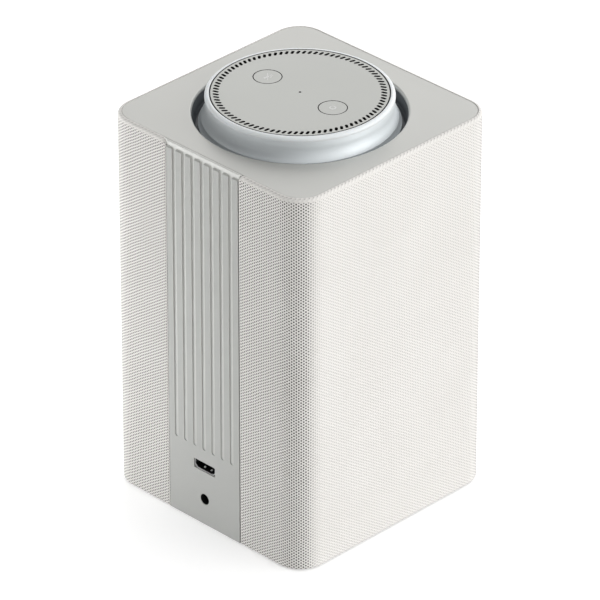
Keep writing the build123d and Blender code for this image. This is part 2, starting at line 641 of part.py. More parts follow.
with BuildPart() as woofer_basket:
    revolve(outline([
        (WOOFER_FLANGE_R, 0.8), (WOOFER_FLANGE_R, 2.8), (44.6, 2.8), (44.6, -3.0), (35.6, -20.5),
        (35.6, -21.5), (33.4, -21.5), (33.4, -23.0), (35.4, -23.0), (35.4, -32.4), (17.6, -32.4),
        (17.6, -33.9), (37.0, -33.9), (37.0, -21.5), (45.8, -3.6), (45.8, 0.8),
    ], woofer_section), axis=woofer_axis)
    with BuildSketch(woofer):
        with PolarLocations(WOOFER_BOLT_R, 4, start_angle=45):
            Circle(SCREW_HOLE_R)
    extrude(amount=5, mode=Mode.SUBTRACT)
    # windows between the six spokes
    with BuildSketch(woofer.offset(-25.0)):
        with PolarLocations(36.4, 6, start_angle=30):
            Rectangle(6, 24)
    extrude(amount=-6.5, mode=Mode.SUBTRACT)
save(woofer_basket, "woofer_basket")

with BuildPart() as woofer_front_plate:
    with BuildSketch(woofer.offset(-33.9)):
        Circle(32)
        Circle(17.2, mode=Mode.SUBTRACT)
    extrude(amount=-4)
save(woofer_front_plate, "woofer_front_plate")

with BuildPart() as woofer_magnet:
    with BuildSketch(woofer.offset(-37.9)):
        Circle(35)
        Circle(20, mode=Mode.SUBTRACT)
    extrude(amount=-12)
save(woofer_magnet, "woofer_magnet")

with BuildPart() as woofer_yoke:
    with BuildSketch(woofer.offset(-49.9)):
        Circle(33)
    extrude(amount=-4)
    with BuildSketch(woofer.offset(-49.9)):
        Circle(15.0)
    extrude(amount=16.5)
save(woofer_yoke, "woofer_yoke")

with BuildPart() as woofer_spider:
    with BuildSketch(woofer_section):
        with BuildLine():
            Polyline(
                (16.7, -20.9), (18.5, -20.9), (20.5, -19.9), (22.5, -20.9), (24.5, -19.9), (26.5, -20.9),
                (28.5, -19.9), (30.5, -20.9), (35.2, -20.9), (35.2, -21.5), (30.2, -21.5), (28.5, -20.5),
                (26.5, -21.5), (24.5, -20.5), (22.5, -21.5), (20.5, -20.5), (18.5, -21.5), (16.7, -21.5),
                close=True,
            )
        make_face()
    revolve(axis=woofer_axis)
save(woofer_spider, "woofer_spider")

with BuildPart() as woofer_surround:
    with BuildSketch(woofer_section):
        with Locations((41.7, 2.8)):
            Circle(2.9)
            Circle(2.2, mode=Mode.SUBTRACT)
            with Locations((0, -3)):
                Rectangle(8, 6, mode=Mode.SUBTRACT)
        with Locations((45.2, 3.15)):
            Rectangle(1.6, 0.7)
    revolve(axis=woofer_axis)
save(woofer_surround, "woofer_surround")

with BuildPart() as woofer_cone:
    revolve(outline([
        (WOOFER_CONE_R, 2.2), (WOOFER_CONE_R, 1.4), (FORMER_R, -14.9), (FORMER_R, -40.0),
        (FORMER_R - 0.7, -40.0), (FORMER_R - 0.7, -14.0), (17.5, -13.0), (37.4, 2.2),
    ], woofer_section), axis=woofer_axis)
save(woofer_cone, "woofer_cone")

with BuildPart() as woofer_dust_cap:
    revolve(dome_section(woofer_section, -7.3, 17.4, -12.8, 0.6), axis=woofer_axis)
save(woofer_dust_cap, "woofer_dust_cap")

# ================================================================ tweeters and passive radiators
for side, word in ((-1, "right"), (1, "left")):
    tweeter = front_plane(side * TWEETER_X, TWEETER_Z)
    tweeter_section = section_plane(tweeter)
    tweeter_axis = Axis(tweeter.origin, tweeter.z_dir)
    with BuildPart() as tweeter_face:
        revolve(outline([
            (TWEETER_FACE_R, 0), (TWEETER_FACE_R, 2.0), (14.0, 2.0), (DOME_R + 1.2, 0.9),
            (DOME_R + 1.2, -4.0), (12.4, -4.0), (12.4, 0),
        ], tweeter_section), axis=tweeter_axis)
        with BuildSketch(tweeter):
            with PolarLocations(15, 2):
                Circle(SCREW_HOLE_R)
        extrude(amount=5, mode=Mode.SUBTRACT)
    save(tweeter_face, f"tweeter_{word}_face")
    with BuildPart() as tweeter_motor:
        with BuildSketch(tweeter.offset(-4.0)):
            Circle(12.4)
            Circle(DOME_R + 0.2, mode=Mode.SUBTRACT)
        extrude(amount=-4)
        with BuildSketch(tweeter.offset(-8.0)):
            Circle(12.4)
        extrude(amount=-12)
        with BuildSketch(tweeter.offset(-8.0)):
            Circle(8.6)
        extrude(amount=3)
    save(tweeter_motor, f"tweeter_{word}_motor")
    with BuildPart() as tweeter_dome:
        revolve(dome_section(tweeter_section, 3.4, DOME_R, -1.0, 0.5), axis=tweeter_axis)
        revolve(outline([
            (DOME_R, -0.6), (DOME_R - 0.6, -0.6), (DOME_R - 0.6, -5.6), (DOME_R, -5.6),
        ], tweeter_section), axis=tweeter_axis)
    save(tweeter_dome, f"tweeter_{word}_dome")

    radiator = side_plane(side)
    radiator_section = section_plane(radiator)
    radiator_axis = Axis(radiator.origin, radiator.z_dir)
    with BuildPart() as radiator_frame:
        revolve(outline([
            (RADIATOR_FLANGE_R, 0), (RADIATOR_FLANGE_R, 1.8), (41.4, 1.8), (41.4, -3.5), (42.7, -3.5), (42.7, 0),
        ], radiator_section), axis=radiator_axis)
        with BuildSketch(radiator):
            with PolarLocations(RADIATOR_BOLT_R, 4, start_angle=45):
                Circle(SCREW_HOLE_R)
        extrude(amount=5, mode=Mode.SUBTRACT)
    save(radiator_frame, f"radiator_{word}_frame")
    with BuildPart() as radiator_surround:
        with BuildSketch(radiator_section):
            with Locations((38.7, 1.8)):
                Circle(2.8)
                Circle(2.1, mode=Mode.SUBTRACT)
                with Locations((0, -3)):
                    Rectangle(8, 6, mode=Mode.SUBTRACT)
            with Locations((42.35, 2.15)):
                Rectangle(2.0, 0.7)
        revolve(axis=radiator_axis)
    save(radiator_surround, f"radiator_{word}_surround")
    with BuildPart() as radiator_plate:
        with BuildSketch(radiator.offset(-1.5)):
            Circle(RADIATOR_PLATE_R)
        extrude(amount=2.5)
        fillet(radiator_plate.faces().sort_by(radiator_axis)[-1].edges(), 0.8)
        with BuildSketch(radiator.offset(-1.5)):
            Circle(18)
        extrude(amount=-4)
    save(radiator_plate, f"radiator_{word}_plate")

# each set: plane the heads sit on, bolt circle, number, start angle, head radius
DRIVER_SCREW_SETS = [(front_plane(0, WOOFER_Z, BOX_FRONT_Y - 2.8), WOOFER_BOLT_R, 4, 45, SCREW_HEAD_R)]
for side in (-1, 1):
    tweeter = front_plane(side * TWEETER_X, TWEETER_Z, BOX_FRONT_Y - 2.0)
    radiator = side_plane(side, BOX_HALF_X + 1.8)
    DRIVER_SCREW_SETS.append((tweeter, 15, 2, 0, SCREW_HEAD_R))
    DRIVER_SCREW_SETS.append((radiator, RADIATOR_BOLT_R, 4, 45, SCREW_HEAD_R - 0.3))
with BuildPart() as driver_screws:
    for plane, bolt_circle, count, start, head_radius in DRIVER_SCREW_SETS:
        with BuildSketch(plane):
            with PolarLocations(bolt_circle, count, start_angle=start):
                Circle(head_radius)
        extrude(amount=SCREW_HEAD_H)
        with BuildSketch(plane):
            with PolarLocations(bolt_circle, count, start_angle=start):
                Circle(SCREW_R)
        extrude(amount=-4.7)
save(driver_screws, "driver_screws")

# ================================================================ main board and what it carries
board_centre_z = sum(MAIN_BOARD_Z) / 2
with BuildPart() as main_board:
    with BuildSketch(Plane.XZ.offset(-MAIN_BOARD_Y)):
        with Locations((0, board_centre_z)):
            RectangleRounded(MAIN_BOARD_WIDTH, MAIN_BOARD_Z[1] - MAIN_BOARD_Z[0], 2)
        with Locations(*POST_SPOTS):
            Circle(SCREW_HOLE_R, mode=Mode.SUBTRACT)
    extrude(amount=-(MAIN_BOARD_REAR - MAIN_BOARD_Y))
save(main_board, "main_board")

board_rear = Plane.XZ.offset(-MAIN_BOARD_REAR)
with BuildPart() as processor:
    with BuildSketch(board_rear):
        with Locations((0, 84)):
            Rectangle(14, 14)
    extrude(amount=-1.6)
save(processor, "processor")

with BuildPart() as thermal_pad:
    with BuildSketch(board_rear.offset(-1.6)):
        with Locations((0, 84)):
            Rectangle(14, 14)
    extrude(amount=-1.5)
save(thermal_pad, "thermal_pad")

with BuildPart() as shield_can:
    with BuildSketch(board_rear):
        with Locations((14, 58)):
            RectangleRounded(18, 16, 1)
    extrude(amount=-2.5)
save(shield_can, "shield_can")

with BuildPart() as capacitors:
    with BuildSketch(board_rear):
        with Locations((-18, 50), (-18, 61), (-7, 56)):
            Circle(4)
    extrude(amount=-9.5)
save(capacitors, "capacitors")

SOCKET_DEPTH = PANEL_FACE_Y - 0.6 - MAIN_BOARD_REAR
with BuildPart() as hdmi_socket:
    extrude(hdmi_outline(0.35, board_rear), amount=-SOCKET_DEPTH)
    extrude(hdmi_outline(0.0, board_rear.offset(-1)), amount=-SOCKET_DEPTH, mode=Mode.SUBTRACT)
save(hdmi_socket, "hdmi_socket")

with BuildPart() as hdmi_tongue:
    with BuildSketch(board_rear.offset(-1)):
        with Locations((0, HDMI_Z + 0.4)):
            Rectangle(11.4, 1.2)
    extrude(amount=-(65.6 - MAIN_BOARD_REAR - 1))
save(hdmi_tongue, "hdmi_tongue")

with BuildPart() as dc_jack:
    with BuildSketch(board_rear):
        with Locations((0, JACK_Z)):
            Rectangle(9, 10)
    extrude(amount=-(PANEL_BACK_Y - 0.1 - MAIN_BOARD_REAR))
    with BuildSketch(board_rear.offset(-2)):
        with Locations((0, JACK_Z)):
            Circle(2.9)
    extrude(amount=-15, mode=Mode.SUBTRACT)
    with BuildSketch(board_rear):
        with Locations((0, JACK_Z)):
            Circle(1.05)
    extrude(amount=-8.5)
save(dc_jack, "dc_jack")

with BuildPart() as antennas:
    for side in (-1, 1):
        with BuildSketch(Plane.YZ.offset(side * (CHASSIS_WIDTH / 2 - CHASSIS_WALL))):
            with Locations((10, 203)):
                Rectangle(30, 10)
        extrude(amount=-side * 0.8)
save(antennas, "antennas")

# ================================================================ flat cable to the top board
CABLE_Y = MAIN_BOARD_REAR + 0.2
with BuildPart() as flat_cable:
    with BuildSketch(Plane.YZ):
        with BuildLine():
            FilletPolyline(
                (CABLE_Y, 108), (CABLE_Y, 198), (25, 198), (25, BOARD_BOTTOM), radius=5,
            )
        trace(line_width=0.3)
    extrude(amount=6, both=True)
save(flat_cable, "flat_cable")
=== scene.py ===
"""Smart speaker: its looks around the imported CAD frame.

Metres, +Z up.  The ribbed rear panel faces +Y, the mute button is on +X and the wheel turns about Z.
"""
import json
from math import atan2, cos, degrees, pi, radians, sin, sqrt

import bpy
import numpy as np
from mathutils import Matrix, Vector


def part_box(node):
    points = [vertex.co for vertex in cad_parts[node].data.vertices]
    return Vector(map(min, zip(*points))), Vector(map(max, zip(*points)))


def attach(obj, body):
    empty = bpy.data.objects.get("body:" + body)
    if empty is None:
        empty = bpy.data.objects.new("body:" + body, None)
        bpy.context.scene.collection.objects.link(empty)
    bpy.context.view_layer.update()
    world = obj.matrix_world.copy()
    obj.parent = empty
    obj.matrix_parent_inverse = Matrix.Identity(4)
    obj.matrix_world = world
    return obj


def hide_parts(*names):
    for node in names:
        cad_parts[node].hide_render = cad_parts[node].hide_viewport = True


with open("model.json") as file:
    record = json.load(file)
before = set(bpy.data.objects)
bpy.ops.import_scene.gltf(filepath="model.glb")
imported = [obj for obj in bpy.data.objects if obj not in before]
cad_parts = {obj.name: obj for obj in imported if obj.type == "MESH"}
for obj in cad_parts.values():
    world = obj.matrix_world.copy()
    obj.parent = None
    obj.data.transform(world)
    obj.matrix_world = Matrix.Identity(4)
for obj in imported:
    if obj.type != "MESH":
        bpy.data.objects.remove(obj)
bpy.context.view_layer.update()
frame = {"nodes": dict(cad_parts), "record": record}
MM = 0.001

# ---------------------------------------------------------------- sizes, from the frame where it has them
cloth_low, cloth_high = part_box("fabric_sleeve")
plate_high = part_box("top_plate")[1]
grille_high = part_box("grille_frame")[1]
HALF = cloth_high.x                      # half width over the cloth
CORNER = 15.5 * MM                       # its upright corners
OPENING = 52.5 * MM                      # gap in the cloth for the rear panel
CLOTH_BOTTOM, CLOTH_TOP = cloth_low.z, cloth_high.z
BACKING = HALF - grille_high.x           # depth of the grille frame that the cloth lies on
TURN_IN = HALF - plate_high.x - 0.05 * MM  # the top edge turns in to the edge of the plate
TOP_ROLL = 1.9 * MM
BOTTOM_ROLL = 0.9 * MM
HEM = 4.5 * MM
HEM_THICK = 1.0 * MM
EDGE_CORNER = 3.0 * MM                   # rounded upper corners of the opening
EDGE_ROLL = 0.7 * MM

DISC_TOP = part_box("mic_disc")[1].z
mute_low, mute_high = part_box("mute_button")
action_low, action_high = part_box("action_button")
BUTTON_OFFSET = (mute_low.x + mute_high.x) / 2 / MM  # millimetres, as the next
BUTTON_RADIUS = 7.35

KNIT_COLUMN = 1.24                       # millimetres, between columns of pin holes
KNIT_PITCH = 1.73                        # millimetres, between holes in one column
HOLE_ACROSS, HOLE_UP = 0.52, 0.57        # millimetres, half width and half height of a hole
ROLL_START = (CLOTH_TOP - TOP_ROLL) / MM  # millimetres up the cloth, where the top edge starts to turn in


# ================================================================ node trees
class Nodes:
    """A material's node tree, written as calls: each one adds a node and returns its output."""

    def __init__(self, name):
        self.material = bpy.data.materials.new(name)
        self.material.use_nodes = True
        self.tree = self.material.node_tree
        self.shader = self.tree.nodes["Principled BSDF"]

    def feed(self, socket, value):
        """Links an output, or sets a constant."""
        if isinstance(value, bpy.types.NodeSocket):
            self.tree.links.new(value, socket)
        elif socket.type == "RGBA":
            socket.default_value = (*value, 1.0)
        else:
            socket.default_value = value

    def add(self, kind, inputs, output=0, **settings):
        node = self.tree.nodes.new("ShaderNode" + kind)
        for key, value in settings.items():
            setattr(node, key, value)
        for key, value in inputs.items():
            self.feed(node.inputs[key], value)
        return node.outputs[output]

    def math(self, operation, a, b=0.0, c=0.0):
        return self.add("Math", {0: a, 1: b, 2: c}, operation=operation)

    def hypot(self, x, y):
        """Length of the vector (x, y)."""
        return self.math("SQRT", self.math("MULTIPLY_ADD", x, x, self.math("MULTIPLY", y, y)))

    def smooth(self, value, low, high, to_low=0.0, to_high=1.0):
        """A smooth step from to_low at low to to_high at high."""
        inputs = {"Value": value, "From Min": low, "From Max": high, "To Min": to_low, "To Max": to_high}
        return self.add("MapRange", inputs, interpolation_type="SMOOTHSTEP")

    def mix(self, factor, a, b):
        return self.add("Mix", {0: factor, 6: a, 7: b}, output=2, data_type="RGBA")

    def place(self):
        """Place in the row frame, in millimetres."""
        point = self.add("TexCoord", {}, output="Object")
        return self.add("VectorMath", {0: point, 3: 1000.0}, operation="SCALE")

    def noise(self, scale, detail=3.0, roughness=0.5, stretch=(1, 1, 1)):
        """Noise from 0 to 1: scale is in waves per millimetre."""
        point = self.add("Mapping", {"Vector": self.place(), "Scale": stretch})
        inputs = {"Vector": point, "Scale": scale, "Detail": detail, "Roughness": roughness}
        return self.add("TexNoise", inputs)

    def bump(self, height, distance, strength=1.0):
        """Normal from a height from 0 to 1 that stands for distance, in metres."""
        return self.add("Bump", {"Height": height, "Distance": distance, "Strength": strength})

    def finish(self, **sockets):
        for key, value in sockets.items():
            self.feed(self.shader.inputs[key.replace("_", " ")], value)
        return self.material


def surface(name, colour, roughness, metallic=0.0, mottle=0.04, grain=3.0, grain_depth=0.01,
            stretch=(1, 1, 1), **sockets):
    """A plain solid finish: broad soft mottling of its colour, uneven gloss, and a fine grain."""
    n = Nodes(name)
    broad = n.noise(0.02, detail=4)
    fine = n.noise(grain, detail=2, stretch=stretch)
    low, high = [[c * k for c in colour] for k in (1 - mottle, 1 + mottle)]
    both = n.math("MULTIPLY_ADD", fine, 0.5, n.math("MULTIPLY", broad, 0.5))
    return n.finish(
        Base_Color=n.mix(both, low, high),
        Roughness=n.smooth(both, 0.3, 0.7, roughness * 0.9, roughness * 1.1),
        Metallic=metallic,
        Normal=n.bump(fine, grain_depth * MM),
        **sockets)


# ================================================================ materials
def knit():
    """Off-white knit with staggered pin holes; its map runs along the cloth and up it, in millimetres."""
    n = Nodes("knit")
    uv = n.add("UVMap", {}, uv_map="UVMap")
    u, v = (n.add("SeparateXYZ", {"Vector": uv}, output=i) for i in "XY")
    wander = n.noise(0.08, detail=2)
    u = n.math("MULTIPLY_ADD", wander, 0.5, u)
    v = n.math("MULTIPLY_ADD", wander, 0.7, v)

    def hole(shift):
        """Distance from the nearest hole of one of the two lattices, in hole radii."""
        across = n.math("MULTIPLY_ADD", u, 0.5 / KNIT_COLUMN, shift)
        up = n.math("MULTIPLY_ADD", v, 1.0 / KNIT_PITCH, shift)
        x = n.math("SUBTRACT", n.math("FRACT", across), 0.5)
        y = n.math("SUBTRACT", n.math("FRACT", up), 0.5)
        x = n.math("MULTIPLY", x, 2 * KNIT_COLUMN / HOLE_ACROSS)
        y = n.math("MULTIPLY", y, KNIT_PITCH / HOLE_UP)
        return n.hypot(x, y)

    away = n.math("MINIMUM", hole(0.0), hole(0.5))
    # the holes close up over the rounded top edge, where slanted ribs run to a row of stitches
    rolled = n.smooth(v, ROLL_START - 0.4, ROLL_START + 0.9)
    yarn = n.math("MAXIMUM", n.smooth(away, 0.45, 1.15), rolled)
    slant = n.math("MULTIPLY_ADD", v, 0.35, n.math("MULTIPLY", u, 0.5 / KNIT_COLUMN))
    rib = n.math("MULTIPLY_ADD", n.math("SINE", n.math("MULTIPLY", slant, 2 * pi)), 0.5, 0.5)
    groove = n.math("MULTIPLY", n.math("SUBTRACT", 1.0, rib), rolled)
    stitch_x = n.math("MULTIPLY", n.math("SUBTRACT", n.math("FRACT", slant), 0.5), 2 * KNIT_COLUMN / 0.5)
    stitch_y = n.math("MULTIPLY", n.math("SUBTRACT", v, ROLL_START + 2.3), 1 / 0.35)
    stitch = n.smooth(n.hypot(stitch_x, stitch_y), 0.5, 1.1, 0.4, 0.0)
    # painted light: the holes and stitches are painted paler on the -X side, where the main light reaches
    # deep into them
    facing = n.add("SeparateXYZ", {"Vector": n.add("NewGeometry", {}, output="Normal")}, output="X")
    depth = n.smooth(facing, -1.0, -0.8, 0.35, 1.0)
    shade = n.math("MULTIPLY", n.math("SUBTRACT", 1.0, yarn), depth)
    shade = n.math("MAXIMUM", shade, n.math("MULTIPLY", stitch, depth))
    # painted shade: the grooves between the slanted ribs on the rolled edge are painted a little darker
    shade = n.math("MAXIMUM", shade, n.math("MULTIPLY", groove, 0.14))
    fibre = n.noise(5.0, detail=3, roughness=0.7)
    broad = n.noise(0.03, detail=3)
    wool = n.mix(n.math("MULTIPLY_ADD", fibre, 0.6, n.math("MULTIPLY", broad, 0.4)),
                 (0.66, 0.64, 0.61), (0.78, 0.765, 0.74))
    colour = n.mix(shade, wool, (0.035, 0.030, 0.028))
    height = n.math("MULTIPLY_ADD", fibre, 0.12, n.math("MULTIPLY_ADD", groove, -0.5, yarn))
    return n.finish(Base_Color=colour, Roughness=0.9, Normal=n.bump(height, 0.25 * MM, 0.8),
                    Sheen_Weight=0.25, Sheen_Roughness=0.5, Specular_IOR_Level=0.2)


def satin_metal(name, colour, roughness, metallic=0.55):
    """Fine bead-blasted, anodised or painted metal."""
    return surface(name, colour, roughness, metallic, mottle=0.015, grain=6.0, grain_depth=0.006)


def polished_wheel():
    """Smooth silver-blue plating with faint turning marks round the axis."""
    n = Nodes("wheel")
    x, y, z = (n.add("SeparateXYZ", {"Vector": n.place()}, output=i) for i in "XYZ")
    radius = n.hypot(x, y)
    rings = n.add("CombineXYZ", {"X": radius, "Y": z})
    turned = n.add("TexNoise", {"Vector": rings, "Scale": 6.0, "Detail": 2.0})
    haze = n.noise(0.05, detail=3)
    return n.finish(
        Base_Color=n.mix(haze, (0.80, 0.845, 0.865), (0.84, 0.885, 0.905)),
        Roughness=n.smooth(haze, 0.3, 0.7, 0.49, 0.53),
        Metallic=0.6,
        Normal=n.bump(turned, 0.002 * MM))


def frosted():
    """Milky translucent plastic, painted black beside and below the disc as shade in the gap there."""
    n = Nodes("light_ring")
    cloud = n.noise(0.2, detail=4)
    x, y, z = (n.add("SeparateXYZ", {"Vector": n.place()}, output=i) for i in "XYZ")
    radius = n.hypot(x, y)
    # painted shade: inside this radius the ring is black
    clear = n.smooth(radius, 46.5, 46.65)
    milk = n.mix(cloud, (0.70, 0.725, 0.735), (0.74, 0.765, 0.775))
    return n.finish(
        Base_Color=n.mix(clear, (0.03, 0.03, 0.03), milk),
        Roughness=n.smooth(cloud, 0.3, 0.7, 0.32, 0.4),
        Subsurface_Weight=0.3, Subsurface_Radius=(0.6, 0.7, 0.8), Subsurface_Scale=1.0 * MM,
        Coat_Weight=0.15, Coat_Roughness=0.2)


def board():
    """Green solder mask over fine copper tracks."""
    n = Nodes("board")
    tracks = n.add("TexBrick", {"Vector": n.place(), "Scale": 0.35, "Mortar Size": 0.03,
                                "Color1": (0.02, 0.10, 0.045), "Color2": (0.025, 0.12, 0.055),
                                "Mortar": (0.06, 0.20, 0.08)})
    return n.finish(Base_Color=tracks, Roughness=0.35, Coat_Weight=0.4,
                    Normal=n.bump(n.noise(2.0), 0.01 * MM))


def painted_disc():
    """Satin paint on the top face, with painted shade: the cut walls below it and a thin ring in the gap
    round each button are near black.
    """
    n = Nodes("disc")
    upward = n.add("SeparateXYZ", {"Vector": n.add("NewGeometry", {}, output="True Normal")}, output="Z")
    x, y = (n.add("SeparateXYZ", {"Vector": n.place()}, output=i) for i in "XY")
    along = n.math("SUBTRACT", n.math("ABSOLUTE", x), BUTTON_OFFSET)
    # painted shade: the walls that don't face up and a thin ring at each button's gap are near black
    from_button_gap = n.math("ABSOLUTE", n.math("SUBTRACT", n.hypot(along, y), BUTTON_RADIUS + 0.1))
    painted = n.math("MULTIPLY", n.smooth(upward, 0.6, 0.9), n.smooth(from_button_gap, 0.22, 0.32))
    fine = n.noise(6.0, detail=2)
    tone = n.math("MULTIPLY_ADD", fine, 0.5, n.math("MULTIPLY", n.noise(0.02, detail=4), 0.5))
    paint = n.mix(tone, (0.44, 0.445, 0.425), (0.46, 0.465, 0.445))
    return n.finish(
        Base_Color=n.mix(painted, (0.012, 0.012, 0.012), paint),
        Roughness=n.smooth(tone, 0.3, 0.7, 0.42, 0.48),
        Metallic=n.math("MULTIPLY", painted, 0.6),
        Normal=n.bump(fine, 0.006 * MM))


def panel_paint():
    """Satin paint, with painted light: paler in the grooves than on the ribs, and slightly paler towards the
    bottom.
    """
    n = Nodes("panel")
    y, z = (n.add("SeparateXYZ", {"Vector": n.place()}, output=i) for i in "YZ")
    fine = n.noise(6.0, detail=2)
    tone = n.math("MULTIPLY_ADD", fine, 0.5, n.math("MULTIPLY", n.noise(0.02, detail=4), 0.5))
    lower = n.mix(tone, (0.405, 0.41, 0.395), (0.42, 0.425, 0.41))
    upper = n.mix(tone, (0.355, 0.36, 0.345), (0.37, 0.375, 0.36))
    # painted light: slightly paler towards the bottom
    face = n.mix(n.smooth(z, 30.0, 170.0), lower, upper)
    # painted light: paler in the grooves than on the ribs
    recess = n.smooth(y, 69.6, 70.48, 1.0, 0.0)
    return n.finish(
        Base_Color=n.mix(recess, face, (0.62, 0.625, 0.60)),
        Roughness=n.smooth(tone, 0.3, 0.7, 0.44, 0.5),
        Metallic=0.25,
        Normal=n.bump(fine, 0.006 * MM))


def port_shell():
    """Plated steel at its mouth; past the mouth it is painted near black as shade."""
    n = Nodes("port_shell")
    y = n.add("SeparateXYZ", {"Vector": n.place()}, output="Y")
    # painted shade: near black inside the socket, where little light reaches
    lit = n.smooth(y, 69.6, 69.85)
    return n.finish(Base_Color=n.mix(lit, (0.004, 0.004, 0.004), (0.55, 0.55, 0.56)), Metallic=0.5,
                    Roughness=n.smooth(n.noise(1.0), 0.3, 0.7, 0.4, 0.5))


MATERIALS = {
    "plate": satin_metal("plate", (0.46, 0.46, 0.44), 0.38, 0.6),
    "panel": panel_paint(),
    "disc": painted_disc(),
    "wheel": polished_wheel(),
    "light_ring": frosted(),
    "dark_plastic": surface("dark_plastic", (0.07, 0.077, 0.084), 0.45, grain=2.5, grain_depth=0.03),
    "rubber": surface("rubber", (0.028, 0.028, 0.028), 0.75, mottle=0.15, grain=2.0, grain_depth=0.03),
    "foam": surface("foam", (0.02, 0.02, 0.02), 0.95, mottle=0.4, grain=1.5, grain_depth=0.3),
    "silicone": surface("silicone", (0.30, 0.30, 0.30), 0.6, grain=1.0),
    "board": board(),
    "chip": surface("chip", (0.02, 0.02, 0.021), 0.45, mottle=0.1, grain=6.0, grain_depth=0.02),
    "led": surface("led", (0.85, 0.85, 0.80), 0.25, grain=1.0),
    "steel": surface("steel", (0.58, 0.58, 0.59), 0.3, 1.0, mottle=0.08, stretch=(1, 1, 12)),
    "basket": surface("basket", (0.035, 0.035, 0.036), 0.4, 0.3, grain=4.0, grain_depth=0.02),
    "ferrite": surface("ferrite", (0.045, 0.045, 0.05), 0.55, mottle=0.25, grain=1.2, grain_depth=0.05),
    "cone": surface("cone", (0.05, 0.05, 0.052), 0.8, mottle=0.3, grain=1.0, grain_depth=0.15),
    "textile": surface("textile", (0.52, 0.38, 0.20), 0.85, mottle=0.2, grain=2.0, grain_depth=0.15),
    "ribbon": surface("ribbon", (0.74, 0.74, 0.71), 0.45, stretch=(10, 1, 1)),
    "cloth": knit(),
}
PORT_FINISH = {
    "port_shell": port_shell(),
    "port_plastic": surface("port_plastic", (0.006, 0.006, 0.006), 0.7, grain=4.0, Specular_IOR_Level=0.2),
    "spring": surface("spring", (0.85, 0.85, 0.83), 0.35, 0.4, grain=5.0),
}
for part in frame["record"]["subparts"]:
    mesh = frame["nodes"][part["node"]].data
    mesh.materials.clear()
    mesh.materials.append(MATERIALS[part["material_slot"]])
SOCKET_FINISH = {"hdmi_socket": "port_shell", "hdmi_tongue": "port_plastic", "dc_jack": "port_plastic"}
for node, name in SOCKET_FINISH.items():
    frame["nodes"][node].data.materials[0] = PORT_FINISH[name]


# ================================================================ mesh helpers
def make_piece(name, vertices, faces, material, body, smooth=True):
    """A new piece of the object, in the row frame, riding on a CAD body."""
    mesh = bpy.data.meshes.new(name)
    mesh.from_pydata([tuple(v) for v in vertices], [], faces)
    mesh.materials.append(material)
    mesh.polygons.foreach_set("use_smooth", [smooth] * len(mesh.polygons))
    mesh.update()
    piece = bpy.data.objects.new(name, mesh)
    bpy.context.scene.collection.objects.link(piece)
    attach(piece, body)
    return piece


# ================================================================ cloth sleeve
SIDE_RUN = 2 * (HALF - CORNER)
REAR_RUN = SIDE_RUN / 2 - OPENING / 2
BEND = CORNER * pi / 2
RUNS = [(REAR_RUN, False)] + [(BEND, True), (SIDE_RUN, False)] * 3 + [(BEND, True), (REAR_RUN, False)]
CLOTH_LENGTH = sum(length for length, _ in RUNS)


def around(s):
    """Point and outward normal at distance s along the cloth, clockwise from the panel's +X edge."""
    point, angle = Vector((OPENING / 2, HALF)), pi / 2
    for length, bend in RUNS:
        step = min(s, length)
        normal = Vector((cos(angle), sin(angle)))
        if bend:
            centre = point - normal * CORNER
            angle -= step / CORNER
            point = centre + Vector((cos(angle), sin(angle))) * CORNER
        else:
            point = point + Vector((normal.y, -normal.x)) * step
        s -= step
        if s <= 0:
            break
    return point, Vector((cos(angle), sin(angle)))


def column_places():
    """Distances along the cloth at which its columns of vertices stand: closer in bends and at its edges."""
    near_edge = [0, 0.1, 0.25, 0.45, 0.7, 1.0, 1.4, 1.9, 2.4, 3.0]
    places, start = [], 0.0
    for length, bend in RUNS:
        count = 14 if bend else round(length / (4 * MM))
        places += [start + length * i / count for i in range(count)]
        start += length
    places = [p for p in places if 3.2 * MM < p < CLOTH_LENGTH - 3.2 * MM]
    left = [d * MM for d in near_edge]
    return left + places + [CLOTH_LENGTH - d for d in reversed(left)]


def arc_drop(distance, radius):
    """How far a quarter round of this radius falls short of its tangent, at a distance from its edge."""
    short = max(0.0, radius - distance)
    return radius - sqrt(radius**2 - short**2)


def cloth_profile(edge):
    """Closed outline of a column this far from the cloth's edge.

    Each point is a depth in from the face, a height, and a way up the cloth.
    """
    drop = arc_drop(edge, EDGE_CORNER)
    face = arc_drop(edge, EDGE_ROLL)
    roll = TOP_ROLL
    top = CLOTH_TOP - drop
    low = CLOTH_BOTTOM + BOTTOM_ROLL
    rows = [(HEM, CLOTH_BOTTOM, CLOTH_BOTTOM - HEM + BOTTOM_ROLL)]
    for i in range(5):
        a = pi / 2 * i / 4
        depth, height = BOTTOM_ROLL * (1 - sin(a)), low - BOTTOM_ROLL * cos(a)
        rows.append((depth, height, low - BOTTOM_ROLL * (pi / 2 - a)))
    high = top - roll
    rows += [(0.0, low + (high - low) * i / 40, low + (high - low) * i / 40) for i in range(1, 41)]
    for i in range(1, 9):
        a = pi / 2 * i / 8
        rows.append((roll * (1 - cos(a)), high + roll * sin(a), high + roll * a))
    rows = [(max(depth, face), z, v) for depth, z, v in rows]
    rows += [(TURN_IN, top - 0.1 * MM, high + roll * pi / 2 + 0.2 * MM)]
    rows += [(TURN_IN, high, high + roll * pi / 2 + 2 * MM)]
    inside = [(BACKING, high), (BACKING, CLOTH_BOTTOM + HEM_THICK), (HEM, CLOTH_BOTTOM + HEM_THICK)]
    return rows + [(depth, z, 0.0) for depth, z in inside]


